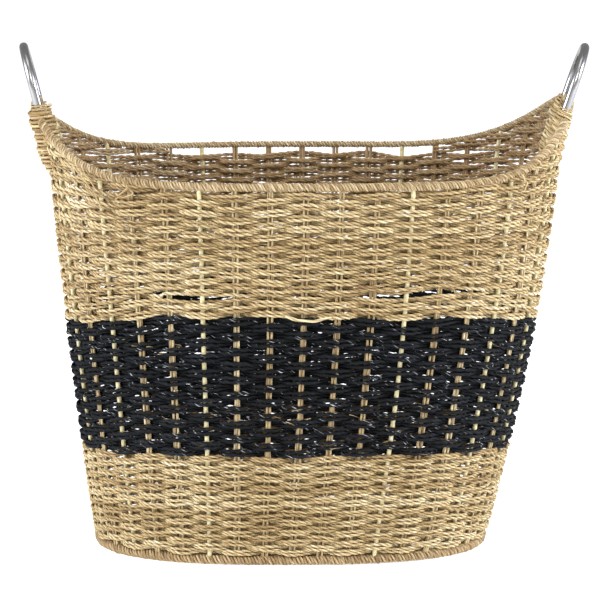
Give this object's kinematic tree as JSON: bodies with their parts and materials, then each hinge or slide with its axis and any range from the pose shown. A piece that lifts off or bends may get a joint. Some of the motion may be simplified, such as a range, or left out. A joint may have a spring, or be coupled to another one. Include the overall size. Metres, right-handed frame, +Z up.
{
  "type": "woven market basket",
  "caption": "Oval woven seagrass basket on a wire frame, with a dark band round the body, raised ends and two fixed steel loop handles for carrying by hand.",
  "frame": {"origin": "on the floor, under the middle of the whole basket, half way between the outermost points of the two handles", "axes": "+Z up, +X along the length towards the right-hand handle, -Y towards the front wall"},
  "size_m": [0.5106, 0.2978, 0.451],
  "materials": {
    "frame_wire": "dull coated steel wire",
    "rib_wire": "satin pale yellow-green coated wire",
    "stakes": "dry golden seagrass stakes, laid in pairs",
    "natural_weave": "dry natural seagrass cord, twisted from two strands",
    "dark_weave": "dyed dark seagrass cord with a slight sheen",
    "rim_wrapping": "natural seagrass strand wound tightly round wire",
    "steel_tube": "finely brushed stainless tube"
  },
  "bodies": {
    "root": {"front_rim_wire": "frame_wire", "back_rim_wire": "frame_wire", "left_ear_wire": "frame_wire", "right_ear_wire": "frame_wire", "base_wire": "frame_wire", "cross_wire_1": "frame_wire", "cross_wire_2": "frame_wire", "cross_wire_3": "frame_wire", "cross_wire_4": "frame_wire", "front_long_wire": "frame_wire", "back_long_wire": "frame_wire", "front_rib_1": "rib_wire", "front_rib_2": "rib_wire", "front_rib_3": "rib_wire", "front_rib_4": "rib_wire", "front_rib_5": "rib_wire", "front_rib_6": "rib_wire", "back_rib_1": "rib_wire", "back_rib_2": "rib_wire", "back_rib_3": "rib_wire", "back_rib_4": "rib_wire", "back_rib_5": "rib_wire", "back_rib_6": "rib_wire", "left_front_rib": "rib_wire", "left_back_rib": "rib_wire", "right_front_rib": "rib_wire", "right_back_rib": "rib_wire", "front_stakes": "stakes", "back_stakes": "stakes", "left_stakes": "stakes", "right_stakes": "stakes", "floor_weave": "natural_weave", "lower_weave": "natural_weave", "upper_weave": "natural_weave", "left_ear_weave": "natural_weave", "right_ear_weave": "natural_weave", "dark_band_weave": "dark_weave", "base_wrap": "rim_wrapping", "front_rim_wrap": "rim_wrapping", "back_rim_wrap": "rim_wrapping", "left_ear_wrap": "rim_wrapping", "right_ear_wrap": "rim_wrapping", "left_front_lashing": "rim_wrapping", "left_back_lashing": "rim_wrapping", "right_front_lashing": "rim_wrapping", "right_back_lashing": "rim_wrapping", "left_handle": "steel_tube", "right_handle": "steel_tube"}
  },
  "joints": []
}
